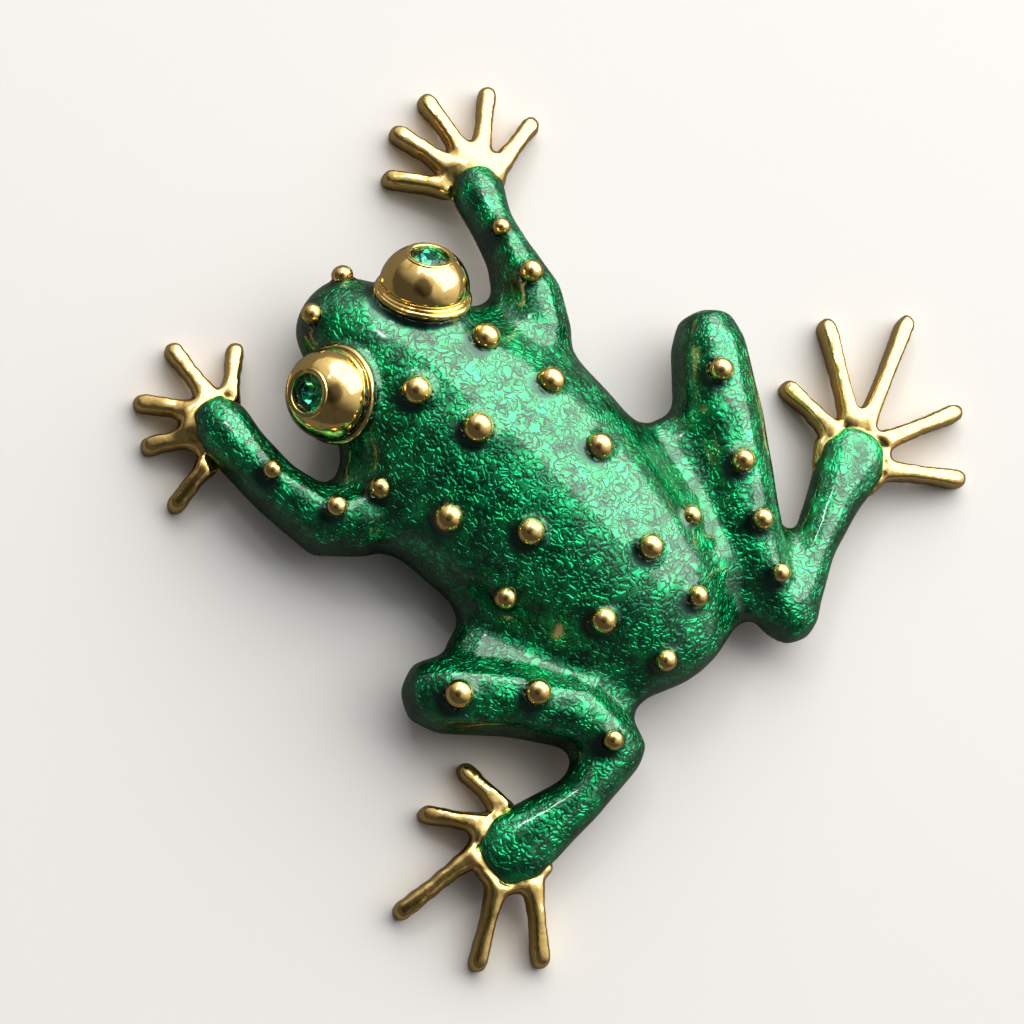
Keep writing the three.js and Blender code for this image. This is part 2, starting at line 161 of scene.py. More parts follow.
def settle(piece: bpy.types.Object, body: Body, replaced: list[str]) -> None:
    """Ties a piece to the frame.

    Args:
        piece: the visible piece.
        body: the body that it rides on.
        replaced: the frame nodes that it stands for.
    """
    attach(piece, body.value)
    if replaced:
        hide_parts(*replaced)
    LOG.info("%s: %d faces, for %s", piece.name, len(piece.data.polygons), ", ".join(replaced))


# --------------------------------------------------------------------------- clay


@dataclass
class Clay:
    """Works solids as signed distances on one grid, over the whole brooch or over a part of it."""

    voxel: float = 0.15 * MM
    reach: int = 12  # half width of the band of true distances, in voxels
    margin: float = 2.7 * MM
    corners: tuple[Vector, Vector] = CAD_BOX
    first: np.ndarray = field(init=False)
    shape: tuple[int, int, int] = field(init=False)

    def __post_init__(self) -> None:
        """Sets the grid to cover the frame's box and its margin."""
        low, high = (np.array(corner) for corner in self.corners)
        self.first = np.floor((low - self.margin) / self.voxel).astype(int)
        last = np.ceil((high + self.margin) / self.voxel).astype(int)
        self.shape = tuple(int(n) for n in last - self.first + 1)

    def _distances(self, points: Points, triangles: Faces | None, quads: Faces | None) -> np.ndarray:
        """Distances from a closed mesh, negative inside it."""
        level_set = openvdb.FloatGrid.createLevelSetFromPolygons(
            (points / self.voxel).astype(np.float32),
            triangles=triangles,
            quads=quads,
            transform=openvdb.createLinearTransform(),
            halfWidth=float(self.reach),
        )
        values = np.zeros(self.shape, dtype=np.float32)
        level_set.copyToArray(values, ijk=tuple(int(n) for n in self.first))
        return values * self.voxel

    def solid(self, name: str) -> np.ndarray:
        """The distances of one frame node."""
        return self._distances(node_points(name), node_triangles(name), None)

    def solids(self, names: list[str]) -> np.ndarray:
        """The distances of several frame nodes joined."""
        return np.minimum.reduce([self.solid(name) for name in names])

    def surface(self, values: np.ndarray, level: float = 0.0) -> tuple[Points, Faces]:
        """The quads of the surface at a level.

        Args:
            values: the distances.
            level: the distance at which the surface lies.

        Returns:
            Its points and its quads.
        """
        grid = openvdb.FloatGrid(float(self.reach))
        grid.copyFromArray(values / self.voxel, ijk=tuple(int(n) for n in self.first))
        points, quads = grid.convertToQuads(level / self.voxel)
        return points * self.voxel, quads

    def moved(self, values: np.ndarray, level: float) -> np.ndarray:
        """True distances from the surface that lies at a level of the given ones."""
        points, quads = self.surface(values, level)
        return self._distances(points, None, quads)

    def closed(self, values: np.ndarray, radius: float) -> np.ndarray:
        """Fills every valley with a fillet of the given radius."""
        return self.moved(self.moved(values, radius), -radius)

    def opened(self, values: np.ndarray, radius: float) -> np.ndarray:
        """Takes away what is thinner than twice the radius."""
        return self.moved(self.moved(values, -radius), radius)

    def filled(self, values: np.ndarray, depth: float, floor: float) -> np.ndarray:
        """Fills a hollow that opens downwards.

        Args:
            values: the distances.
            depth: how far under the outer surface the filling stays.
            floor: the height at which it ends.

        Returns:
            The distances of the filled solid.
        """
        shaded = np.minimum.accumulate(values[:, :, ::-1], axis=2)[:, :, ::-1]
        shaded = np.maximum(shaded, floor - self.heights())
        return self.moved(np.minimum(values, self.moved(shaded, 0.0) + depth), 0.0)

    def blurred(self, values: np.ndarray, sigma: float) -> np.ndarray:
        """Distances averaged over a bell of the given spread."""
        spread = sigma / self.voxel
        count = max(1, int(2.6 * spread + 0.5))
        weights = np.exp(-0.5 * (np.arange(-count, count + 1) / spread) ** 2)
        weights = (weights / weights.sum()).astype(np.float32)
        out = values
        for axis in range(3):
            padding = [(count, count) if k == axis else (0, 0) for k in range(3)]
            padded = np.pad(out, padding, mode="edge")
            size = out.shape[axis]
            out = np.zeros_like(values)
            for step, weight in enumerate(weights):
                part = [slice(None)] * 3
                part[axis] = slice(step, step + size)
                out += weight * padded[tuple(part)]
        return out

    def softened(self, values: np.ndarray, sigma: float) -> np.ndarray:
        """Distances without ripples shorter than about four times the spread, at their full size."""
        once = self.blurred(values, sigma)
        return 2 * once - self.blurred(once, sigma)

    def unevenness(self, seed: int, sigma: float) -> np.ndarray:
        """Smooth random waves of about one unit, the same for the same seed."""
        waves = np.random.default_rng(seed).standard_normal(self.shape, dtype=np.float32)
        waves = self.blurred(waves, sigma)
        return waves / waves.std()

    def heights(self) -> np.ndarray:
        """The height of every layer of the grid, ready to combine with distances."""
        return ((self.first[2] + np.arange(self.shape[2])) * self.voxel).astype(np.float32)[None, None, :]

    def sampled(self, values: np.ndarray, points: Points) -> np.ndarray:
        """Distances read between the grid's points.

        Args:
            values: the distances.
            points: where they are wanted.

        Returns:
            One distance for each point.
        """
        place = points / self.voxel - self.first
        base = np.clip(np.floor(place).astype(int), 0, np.array(self.shape) - 2)
        part = np.clip(place - base, 0, 1)
        total = np.zeros(len(points))
        for corner in np.ndindex(2, 2, 2):
            weight = np.prod(np.where(np.array(corner) == 1, part, 1 - part), axis=1)
            at = base + np.array(corner)
            total += weight * values[at[:, 0], at[:, 1], at[:, 2]]
        return total


@dataclass
class ClayMesh:
    """A modelled surface and the values that it holds at each point."""

    points: Points
    quads: Faces
    marks: dict[str, np.ndarray] = field(default_factory=dict)

    def normals(self) -> np.ndarray:
        """The direction that the surface faces at each point."""
        corners = self.points[self.quads]
        across = np.cross(corners[:, 2] - corners[:, 0], corners[:, 3] - corners[:, 1])
        total = np.zeros_like(self.points, dtype=float)
        for k in range(4):
            np.add.at(total, self.quads[:, k], across)
        return total / np.maximum(np.linalg.norm(total, axis=1, keepdims=True), 1e-15)

    def made(self, name: str) -> bpy.types.Object:
        """Makes the object, with its values as point attributes."""
        piece = new_mesh_object(name, self.points, self.quads)
        for mark, values in self.marks.items():
            layer = piece.data.attributes.new(mark, "FLOAT", "POINT")
            layer.data.foreach_set("value", values.astype(np.float32))
        return piece


def largest_piece(points: Points, quads: Faces, smallest: int = 400) -> tuple[Points, Faces]:
    """Drops crumbs from a mesh.

    Args:
        points: its points.
        quads: its faces.
        smallest: the fewest points of a part that is kept.

    Returns:
        The points and faces that stay.
    """
    label = np.arange(len(points))
    while True:
        least = label[quads].min(axis=1)
        fresh = label.copy()
        for k in range(4):
            np.minimum.at(fresh, quads[:, k], least)
        fresh = fresh[fresh]
        if (fresh == label).all():
            break
        label = fresh
    names, counts = np.unique(label, return_counts=True)
    kept = np.isin(label, names[counts >= smallest])
    number = np.cumsum(kept) - 1
    return points[kept], number[quads[kept[quads[:, 0]]]]


# --------------------------------------------------------------------------- node groups


def group_socket(
    tree: bpy.types.NodeTree, name: str, out: bool, kind: str = "NodeSocketFloat", value: float | None = None
) -> None:
    """Adds a named socket to a node group.

    Args:
        tree: the group.
        name: the socket's name.
        out: whether it is an output.
        kind: its type.
        value: what it holds when nothing is linked to it.
    """
    socket = tree.interface.new_socket(name, in_out="OUTPUT" if out else "INPUT", socket_type=kind)
    if value is not None:
        socket.default_value = value


class Crinkle:
    """A shader group: the crinkled ground that shows through the enamel.

    Its outputs are Height, the relief, and Line, the dark bottoms of the crinkles.
    """

    NAME = "crinkled_ground"

    @staticmethod
    def tree() -> bpy.types.NodeTree:
        """The group, built once."""
        made = bpy.data.node_groups.get(Crinkle.NAME)
        if made:
            return made
        tree = bpy.data.node_groups.new(Crinkle.NAME, "ShaderNodeTree")
        group_socket(tree, "Vector", False, "NodeSocketVector")
        group_socket(tree, "Scale", False, value=1500.0)
        group_socket(tree, "Width", False, value=0.09)
        group_socket(tree, "Height", True)
        group_socket(tree, "Line", True)
        nodes, links = tree.nodes, tree.links
        start = nodes.new("NodeGroupInput")
        end = nodes.new("NodeGroupOutput")
        worm = nodes.new("ShaderNodeTexNoise")
        worm.inputs["Detail"].default_value = 1.2
        worm.inputs["Roughness"].default_value = 0.45
        worm.inputs["Distortion"].default_value = 0.55
        links.new(start.outputs["Vector"], worm.inputs["Vector"])
        links.new(start.outputs["Scale"], worm.inputs["Scale"])
        centred = nodes.new("ShaderNodeMath")
        centred.operation = "SUBTRACT"
        centred.inputs[1].default_value = 0.5
        links.new(worm.outputs["Fac"], centred.inputs[0])
        ridge = nodes.new("ShaderNodeMath")
        ridge.operation = "ABSOLUTE"
        links.new(centred.outputs[0], ridge.inputs[0])
        height = nodes.new("ShaderNodeMapRange")
        height.interpolation_type = "SMOOTHSTEP"
        height.inputs["From Min"].default_value = 0.0
        links.new(ridge.outputs[0], height.inputs["Value"])
        links.new(start.outputs["Width"], height.inputs["From Max"])
        turned = nodes.new("ShaderNodeMath")
        turned.operation = "SUBTRACT"
        turned.inputs[0].default_value = 1.0
        links.new(height.outputs["Result"], turned.inputs[1])
        links.new(height.outputs["Result"], end.inputs["Height"])
        links.new(turned.outputs[0], end.inputs["Line"])
        return tree


class CastWaves:
    """A shader group: the small waves and pits of hand-finished cast metal, as a height."""

    NAME = "cast_waves"

    @staticmethod
    def tree() -> bpy.types.NodeTree:
        """The group, built once."""
        made = bpy.data.node_groups.get(CastWaves.NAME)
        if made:
            return made
        tree = bpy.data.node_groups.new(CastWaves.NAME, "ShaderNodeTree")
        group_socket(tree, "Vector", False, "NodeSocketVector")
        group_socket(tree, "Scale", False, value=600.0)
        group_socket(tree, "Pits", False, value=0.3)
        group_socket(tree, "Height", True)
        group_socket(tree, "Dirt", True)
        nodes, links = tree.nodes, tree.links
        start = nodes.new("NodeGroupInput")
        end = nodes.new("NodeGroupOutput")
        wave = nodes.new("ShaderNodeTexNoise")
        wave.inputs["Detail"].default_value = 2.0
        wave.inputs["Distortion"].default_value = 0.3
        links.new(start.outputs["Vector"], wave.inputs["Vector"])
        links.new(start.outputs["Scale"], wave.inputs["Scale"])
        finer = nodes.new("ShaderNodeMath")
        finer.operation = "MULTIPLY"
        finer.inputs[1].default_value = 4.5
        links.new(start.outputs["Scale"], finer.inputs[0])
        pit = nodes.new("ShaderNodeTexNoise")
        pit.inputs["Detail"].default_value = 3.0
        links.new(start.outputs["Vector"], pit.inputs["Vector"])
        links.new(finer.outputs[0], pit.inputs["Scale"])
        share = nodes.new("ShaderNodeMath")
        share.operation = "MULTIPLY"
        links.new(pit.outputs["Fac"], share.inputs[0])
        links.new(start.outputs["Pits"], share.inputs[1])
        total = nodes.new("ShaderNodeMath")
        links.new(wave.outputs["Fac"], total.inputs[0])
        links.new(share.outputs[0], total.inputs[1])
        dirt = nodes.new("ShaderNodeMapRange")
        dirt.inputs["From Min"].default_value = 0.58
        dirt.inputs["From Max"].default_value = 0.75
        links.new(pit.outputs["Fac"], dirt.inputs["Value"])
        links.new(total.outputs[0], end.inputs["Height"])
        links.new(dirt.outputs["Result"], end.inputs["Dirt"])
        return tree


# --------------------------------------------------------------------------- finishes


def mix_colours(nodes: bpy.types.Nodes, first: Colour, second: Colour) -> bpy.types.Node:
    """A node that mixes two colours by its Factor."""
    node = nodes.new("ShaderNodeMix")
    node.data_type = "RGBA"
    node.inputs["A"].default_value = (*first, 1.0)
    node.inputs["B"].default_value = (*second, 1.0)
    return node


def attribute(nodes: bpy.types.Nodes, name: str) -> bpy.types.NodeSocket:
    """The value that a mesh holds under a name at each point."""
    node = nodes.new("ShaderNodeAttribute")
    node.attribute_name = name
    return node.outputs["Fac"]


@dataclass(frozen=True)
class GoldPlate:
    """Polished gold plate over a casting."""

    name: str = "gold_plate"
    colour: Colour = (1.0, 0.69, 0.23)
    deep: Colour = (0.66, 0.35, 0.08)
    roughness: float = 0.14
    wave_scale: float = 800.0
    wave_depth: float = 0.05 * MM
    pits: float = 0.1

    def material(self) -> bpy.types.Material:
        """Builds the material, or gives back the one already built."""
        made = bpy.data.materials.get(self.name)
        if made:
            return made
        material = bpy.data.materials.new(self.name)
        material.use_nodes = True
        nodes, links = material.node_tree.nodes, material.node_tree.links
        shader = nodes["Principled BSDF"]
        shader.inputs["Metallic"].default_value = 1.0
        where = nodes.new("ShaderNodeTexCoord")
        waves = nodes.new("ShaderNodeGroup")
        waves.node_tree = CastWaves.tree()
        waves.inputs["Scale"].default_value = self.wave_scale
        waves.inputs["Pits"].default_value = self.pits
        links.new(where.outputs["Object"], waves.inputs["Vector"])
        colour = mix_colours(nodes, self.colour, self.deep)
        links.new(waves.outputs["Dirt"], colour.inputs["Factor"])
        links.new(colour.outputs["Result"], shader.inputs["Base Color"])
        rough = nodes.new("ShaderNodeMapRange")
        rough.inputs["To Min"].default_value = self.roughness
        rough.inputs["To Max"].default_value = self.roughness + 0.16
        links.new(waves.outputs["Dirt"], rough.inputs["Value"])
        links.new(rough.outputs["Result"], shader.inputs["Roughness"])
        bump = nodes.new("ShaderNodeBump")
        bump.inputs["Strength"].default_value = 1.0
        bump.inputs["Distance"].default_value = self.wave_depth
        links.new(waves.outputs["Height"], bump.inputs["Height"])
        links.new(bump.outputs["Normal"], shader.inputs["Normal"])
        return material


@dataclass(frozen=True)
class CandyEnamel:
    """Clear green enamel over a crinkled, bright ground, darkened by a mesh mark for pooled enamel and
    painted shade, and lightened by a mesh mark for a painted highlight along the coat's lowest edge.
    """

    name: str = "candy_enamel"
    bright: Colour = (0.008, 0.70, 0.22)
    body: Colour = (0.001, 0.185, 0.062)
    # the darkest green: the crinkles' bottoms, and the pool mark's pooled enamel and painted shade
    deep: Colour = (0.0, 0.03, 0.02)
    # painted highlight colour along the coat's lowest edge
    edge: Colour = (0.015, 0.42, 0.15)
    ground_scale: float = 1950.0
    ground_depth: float = 0.1 * MM
    line_share: float = 0.5
    roughness: float = 0.3

    def material(self) -> bpy.types.Material:
        """Builds the material, or gives back the one already built."""
        made = bpy.data.materials.get(self.name)
        if made:
            return made
        material = bpy.data.materials.new(self.name)
        material.use_nodes = True
        nodes, links = material.node_tree.nodes, material.node_tree.links
        shader = nodes["Principled BSDF"]
        shader.inputs["Metallic"].default_value = 0.95
        shader.inputs["Roughness"].default_value = self.roughness
        shader.inputs["Specular Tint"].default_value = (0.05, 0.55, 0.24, 1.0)
        shader.inputs["Coat Weight"].default_value = 1.0
        shader.inputs["Coat Roughness"].default_value = 0.13
        shader.inputs["Coat IOR"].default_value = 1.62
        where = nodes.new("ShaderNodeTexCoord")
        ground = nodes.new("ShaderNodeGroup")
        ground.node_tree = Crinkle.tree()
        ground.inputs["Scale"].default_value = self.ground_scale
        ground.inputs["Width"].default_value = 0.15
        links.new(where.outputs["Object"], ground.inputs["Vector"])
        patches = nodes.new("ShaderNodeTexNoise")
        patches.inputs["Scale"].default_value = 700.0
        patches.inputs["Detail"].default_value = 3.0
        links.new(where.outputs["Object"], patches.inputs["Vector"])
        patchy = nodes.new("ShaderNodeMapRange")
        patchy.inputs["From Min"].default_value = 0.4
        patchy.inputs["From Max"].default_value = 0.66
        links.new(patches.outputs["Fac"], patchy.inputs["Value"])
        light = mix_colours(nodes, self.body, self.bright)
        links.new(patchy.outputs["Result"], light.inputs["Factor"])
        lines = self._product(material, ground.outputs["Line"], attribute(nodes, "ground"))
        share = nodes.new("ShaderNodeMath")
        share.operation = "MULTIPLY"
        share.inputs[1].default_value = self.line_share
        links.new(lines, share.inputs[0])
        line = mix_colours(nodes, self.body, self.deep)
        links.new(light.outputs["Result"], line.inputs["A"])
        links.new(share.outputs[0], line.inputs["Factor"])
        # darker by the pool mark: pooled enamel, and painted shade and shadow round studs and eyes
        pool_and_shade_mix = mix_colours(nodes, self.body, self.deep)
        links.new(line.outputs["Result"], pool_and_shade_mix.inputs["A"])
        links.new(attribute(nodes, "pool_and_painted_shade"), pool_and_shade_mix.inputs["Factor"])
        # lighter by the edge mark: a painted highlight along the coat's lowest edge
        painted_edge_highlight = mix_colours(nodes, self.body, self.edge)
        links.new(pool_and_shade_mix.outputs["Result"], painted_edge_highlight.inputs["A"])
        links.new(attribute(nodes, "edge"), painted_edge_highlight.inputs["Factor"])
        links.new(painted_edge_highlight.outputs["Result"], shader.inputs["Base Color"])
        relief = self._product(material, ground.outputs["Height"], attribute(nodes, "ground"))
        bump = nodes.new("ShaderNodeBump")
        bump.inputs["Strength"].default_value = 0.9
        bump.inputs["Distance"].default_value = self.ground_depth
        links.new(relief, bump.inputs["Height"])
        links.new(bump.outputs["Normal"], shader.inputs["Normal"])
        return material

    @staticmethod
    def _product(
        material: bpy.types.Material, first: bpy.types.NodeSocket, second: bpy.types.NodeSocket
    ) -> bpy.types.NodeSocket:
        """The product of two values."""
        node = material.node_tree.nodes.new("ShaderNodeMath")
        node.operation = "MULTIPLY"
        material.node_tree.links.new(first, node.inputs[0])
        material.node_tree.links.new(second, node.inputs[1])
        return node.outputs[0]


@dataclass(frozen=True)
class CutGlass:
    """Clear green glass of a set stone's crown."""

    name: str = "cut_glass"
    colour: Colour = (0.45, 0.98, 0.82)

    def material(self) -> bpy.types.Material:
        """Builds the material, or gives back the one already built."""
        made = bpy.data.materials.get(self.name)
        if made:
            return made
        material = bpy.data.materials.new(self.name)
        material.use_nodes = True
        shader = material.node_tree.nodes["Principled BSDF"]
        shader.inputs["Base Color"].default_value = (*self.colour, 1.0)
        shader.inputs["Transmission Weight"].default_value = 1.0
        shader.inputs["Roughness"].default_value = 0.01
        shader.inputs["IOR"].default_value = 1.56
        return material


@dataclass(frozen=True)
class Foil:
    """The foil behind a set stone, each facet a lighter or darker green as painted glints."""

    name: str = "stone_foil"
    # lit and dark facet greens of the painted glints
    colour: Colour = (0.3, 1.0, 0.74)
    deep: Colour = (0.04, 0.55, 0.36)

    def material(self) -> bpy.types.Material:
        """Builds the material, or gives back the one already built."""
        made = bpy.data.materials.get(self.name)
        if made:
            return made
        material = bpy.data.materials.new(self.name)
        material.use_nodes = True
        nodes, links = material.node_tree.nodes, material.node_tree.links
        shader = nodes["Principled BSDF"]
        shader.inputs["Metallic"].default_value = 1.0
        shader.inputs["Roughness"].default_value = 0.08
        # each facet's mark mixes them: painted glints
        painted_glint = mix_colours(nodes, self.deep, self.colour)
        links.new(attribute(nodes, "painted_glint"), painted_glint.inputs["Factor"])
        links.new(painted_glint.outputs["Result"], shader.inputs["Base Color"])
        return material


# --------------------------------------------------------------------------- turned pieces


@dataclass
class Turning:
    """The line that a turned frame node was turned round, read from its solid."""

    name: str
    base: Vector = field(init=False)
    axis: Vector = field(init=False)
    height: float = field(init=False)
    radius: float = field(init=False)

    def __post_init__(self) -> None:
        """Finds the flat base, the axis, the height and the radius."""
        points = node_points(self.name).astype(float)
        corners = points[node_triangles(self.name).astype(int)]
        cross = np.cross(corners[:, 1] - corners[:, 0], corners[:, 2] - corners[:, 0])
        areas = np.linalg.norm(cross, axis=1) / 2
        normals = cross / np.maximum(2 * areas[:, None], 1e-18)
        alike = (normals @ normals.T > 0.9995) @ areas
        flat = normals @ normals[int(alike.argmax())] > 0.9995
        centres = corners.mean(axis=1)
        base = (centres[flat] * areas[flat, None]).sum(axis=0) / areas[flat].sum()
        axis = -(normals[flat] * areas[flat, None]).sum(axis=0)
        axis /= np.linalg.norm(axis)
        along = (points - base) @ axis
        away = np.linalg.norm(points - base - along[:, None] * axis, axis=1)
        self.base, self.axis = Vector(base), Vector(axis)
        self.height, self.radius = float(along.max()), float(away.max())

    def turn(self) -> Matrix:
        """The matrix that puts a piece turned round +Z from the origin in its place."""
        return Matrix.Translation(self.base) @ self.axis.to_track_quat("Z", "Y").to_matrix().to_4x4()


def lathe(profile: list[tuple[float, float]], sides: int) -> tuple[Points, list[list[int]]]:
    """Turns a profile round +Z.

    Args:
        profile: radius and height pairs, from the bottom of the axis to its top.
        sides: the number of steps round the axis.

    Returns:
        Points and faces of the closed piece.
    """
    points = [(0.0, 0.0, profile[0][1])]
    rings = profile[1:-1]
    for radius, height in rings:
        for k in range(sides):
            turn = 2 * math.pi * k / sides
            points.append((radius * math.cos(turn), radius * math.sin(turn), height))
    points.append((0.0, 0.0, profile[-1][1]))
    top = len(points) - 1
    faces = []
    for k in range(sides):
        follow = (k + 1) % sides
        faces.append([0, 1 + follow, 1 + k])
        for r in range(len(rings) - 1):
            a, b = 1 + r * sides + k, 1 + r * sides + follow
            faces.append([a, b, b + sides, a + sides])
        last = 1 + (len(rings) - 1) * sides
        faces.append([last + k, last + follow, top])
    return np.array(points), faces


def arc(
    centre: tuple[float, float], radius: float, start: float, end: float, steps: int
) -> list[tuple[float, float]]:
    """Profile points along an arc, its angles in degrees from straight out."""
    turns = np.radians(np.linspace(start, end, steps + 1))
    return [(centre[0] + radius * math.cos(t), centre[1] + radius * math.sin(t)) for t in turns]


# --------------------------------------------------------------------------- sub-assemblies


@dataclass
class EnamelAndCasting:
    """The gold casting and the coat of enamel over it.

    Known fault: the trunk's filling ends above the level that the coat is cut off at, so the coat
    wraps round the filling's underside too, as a false sheet across the casting's hollow.
    """

    clay: Clay
    valley: float = 1.6 * MM  # fillet between limbs and trunk
    crook: float = 0.6 * MM  # fillet in the bends of the limbs
    meniscus: float = 0.42 * MM  # rise of the enamel round studs and eyes
    digit: float = 0.95 * MM  # half thickness under which metal isn't part of the trunk
    web: float = 0.6 * MM  # fillet between the digits
    plump: float = 0.27 * MM  # roundness of digits and palms over the faceted solid
    ledge: float = 0.2 * MM  # how far the gold edge stands out under the enamel
    trunk_softness: float = 1.0 * MM
    limb_softness: float = 0.42 * MM
    metal_softness: float = 0.16 * MM
    edge_softness: float = 0.12 * MM
    coat: float = 0.62 * MM  # thickness of the enamel
    lip: float = 0.42 * MM  # height of the gold edge under the enamel
    enamel_waves: float = 0.012 * MM
    metal_waves: float = 0.03 * MM
    shade_ring_width: float = 0.5 * MM  # width of the darker ring round studs and eyes: thicker enamel there, and painted shade
    painted_shadow_width: float = 0.65 * MM  # width of the painted shadow of studs and eyes on their far side from the window
    # painted shadow: the distance of studs and eyes is read this far towards the window
    painted_shadow_shift: tuple[float, float, float] = (0.6 * MM, -0.05 * MM, 0.1 * MM)

    def build(self) -> None:
        """Makes both pieces, dresses them and ties them to the frame."""
        coat, metal = self.shapes()
        piece = coat.made("enamel_coat")
        piece.data.materials.append(CandyEnamel().material())
        settle(piece, Body.BROOCH, nodes_named("enamel_"))
        piece = metal.made("fine_casting")
        piece.data.materials.append(GoldPlate().material())
        settle(piece, Body.BROOCH, ["body_casting"])

    def shapes(self) -> tuple[ClayMesh, ClayMesh]:
        """Models the coat and the casting.

        Returns:
            The surfaces of both.
        """
        clay, heights = self.clay, self.clay.heights()
        back = clay.solid("enamel_back")
        limbs = clay.solids([name for name in nodes_named("enamel_") if name != "enamel_back"])
        enamel = np.minimum(back, limbs)
        casting = clay.solid("body_casting")
        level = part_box("enamel_back")[0][2]
        floor = level - self.lip
        welded = clay.closed(np.minimum(casting, enamel), 0.15 * MM)
        core = clay.opened(clay.filled(welded, self.digit, floor), self.digit)
        plain = np.minimum(core, enamel)
        near = np.clip((1.7 * MM - back) / (1.1 * MM), 0, 1)
        whole = near * clay.closed(plain, self.valley) + (1 - near) * clay.closed(plain, self.crook)
        body = self._softened(whole, back, limbs)
        set_pieces = clay.solids(nodes_named("stud_") + nodes_named("eye_cup"))
        bare = self._bare(enamel.min(axis=2), casting.min(axis=2))
        dressed = clay.closed(np.minimum(body, set_pieces), self.meniscus)
        coat = np.maximum(dressed, level - heights)
        coat = np.maximum(coat, -body - self.coat)
        coat = clay.blurred(np.maximum(coat, -bare), self.edge_softness)
        coat = np.maximum(coat, -set_pieces - 0.02 * MM)
        metal = clay.closed(casting, self.web)
        away = np.clip(body / (0.6 * MM), 0, 1)
        metal -= away * (self.plump + self.metal_waves * clay.unevenness(11, 0.45 * MM))
        inner = (enamel.min(axis=2) < -0.2 * MM)[:, :, None]
        sunk = np.where(heights > level, np.where(inner, 0.4 * MM, 0.2 * MM), 0.0).astype(np.float32)
        metal = np.where(bare > 0, np.maximum(metal, body + sunk), metal)
        rim = np.maximum(np.maximum(body - self.ledge, heights - level), floor - heights)
        metal = np.minimum(metal, np.maximum(rim, -body - 1.1 * MM))
        metal = np.maximum(clay.blurred(metal, self.metal_softness), -set_pieces - 0.05 * MM)
        metal = np.maximum(metal, CAD_BOX[0][2] - heights)
        return self._coat(coat, plain, set_pieces), self._surface(metal)

    def _bare(self, over: np.ndarray, under: np.ndarray) -> np.ndarray:
        """Finds the palms and digits, which have no enamel over them.

        Args:
            over: each column's distance from the enamel.
            under: each column's distance from the metal.

        Returns:
            A value for each column, negative on palms and digits.
        """
        open_metal = np.maximum(0.05 * MM - over, under)
        inside = open_metal < 0
        reached = inside & (over > 1.6 * MM)
        for _ in range(round(3.0 * MM / self.clay.voxel)):
            for axis in (0, 1):
                reached |= np.roll(reached, 1, axis) | np.roll(reached, -1, axis)
            reached &= inside
        return np.where(reached | ~inside, open_metal, -open_metal)[:, :, None]

    def _softened(self, whole: np.ndarray, back: np.ndarray, limbs: np.ndarray) -> np.ndarray:
        """Softens the trunk more than the limbs, and leaves the waves of poured enamel."""
        share = np.clip((limbs - back) / (2.4 * MM) + 0.5, 0, 1)
        share = self.clay.blurred(share, 0.6 * MM)
        body = share * self.clay.softened(whole, self.trunk_softness)
        body += (1 - share) * self.clay.softened(whole, self.limb_softness)
        return body + self.enamel_waves * self.clay.unevenness(5, 0.75 * MM)

    def _surface(self, values: np.ndarray) -> ClayMesh:
        """The surface of a solid without its crumbs, facing outwards."""
        return ClayMesh(*largest_piece(*self.clay.surface(values)))

    def _coat(self, coat: np.ndarray, plain: np.ndarray, set_pieces: np.ndarray) -> ClayMesh:
        """The coat's surface, with how deep the enamel lies at each point, painted shade and a painted
        shadow round the studs and eyes, and a painted highlight along its lowest edge.
        """
        mesh = self._surface(coat)
        points, clay = mesh.points, self.clay
        facing = mesh.normals()[:, 2]
        filled = np.clip((clay.sampled(plain, points) - 0.12 * MM) / (0.7 * MM), 0, 1)
        # a darker ring round studs and eyes: pooled enamel and painted shade
        ring = np.clip(1 - clay.sampled(set_pieces, points) / self.shade_ring_width, 0, 1)
        # a painted shadow of the studs and eyes, on their far side from the window
        shadow_caster_gap = clay.sampled(set_pieces, points + np.array(self.painted_shadow_shift))
        painted_shadow = np.clip(1 - shadow_caster_gap / self.painted_shadow_width, 0, 1)
        steep = np.clip((0.66 - facing) / 0.55, 0, 1)
        low = points[:, 2] - points[:, 2].min()
        # the painted shade ring and the painted shadow together
        near = np.maximum(ring, painted_shadow)
        # pool mark: darker where the enamel lies thick in valleys and on steep sides, plus the painted shade
        # and painted shadow round studs and eyes
        mesh.marks["pool_and_painted_shade"] = np.clip(0.8 * filled + 0.95 * near + 0.8 * steep, 0, 1)
        clear = 1 - 0.92 * np.clip(filled + near, 0, 1)
        mesh.marks["ground"] = clear * np.clip(low / (2.4 * MM), 0.15, 1)
        # edge mark: a painted highlight that fades out over the coat's lowest 0.4 mm
        mesh.marks["edge"] = np.clip(1 - (low - 0.1 * MM) / (0.3 * MM), 0, 1)
        return mesh


@dataclass
class Studs:
    """The gold studs: domed beads that stand out of the enamel."""

    sides: int = 28
    neck: float = 0.9  # width of the shank over the bead's
    flatness: float = 0.9  # height of the dome over its radius

    def build(self) -> None:
        """Turns a bead for every stud of the frame."""
        for number, name in enumerate(nodes_named("stud_")):
            self._bead(name, number)

    def _bead(self, name: str, number: int) -> None:
        """Turns one bead, a little uneven as a cast one is."""
        line = Turning(name)
        radius, height = line.radius, line.height
        crown = height - radius * self.flatness
        profile = [(0.0, 0.0), (radius * self.neck, 0.0), (radius * self.neck, crown - 0.45 * radius)]
        for t in np.radians(np.linspace(-26, 90, 12)):
            profile.append((radius * math.cos(t), crown + radius * self.flatness * math.sin(t)))
        profile[-1] = (0.0, height)
        points, faces = lathe(profile, self.sides)
        turn = number * 2.4
        sway = points[:, 0] * math.cos(turn) + points[:, 1] * math.sin(turn)
        lift = np.clip((points[:, 2] - crown) / radius, 0, 1)
        points[:, 2] += 0.06 * sway * lift
        piece = new_mesh_object(name.replace("stud_", "bead_"), points, faces)
        piece.data.transform(line.turn())
        piece.data.materials.append(GoldPlate().material())
        settle(piece, Body.BROOCH, [name])


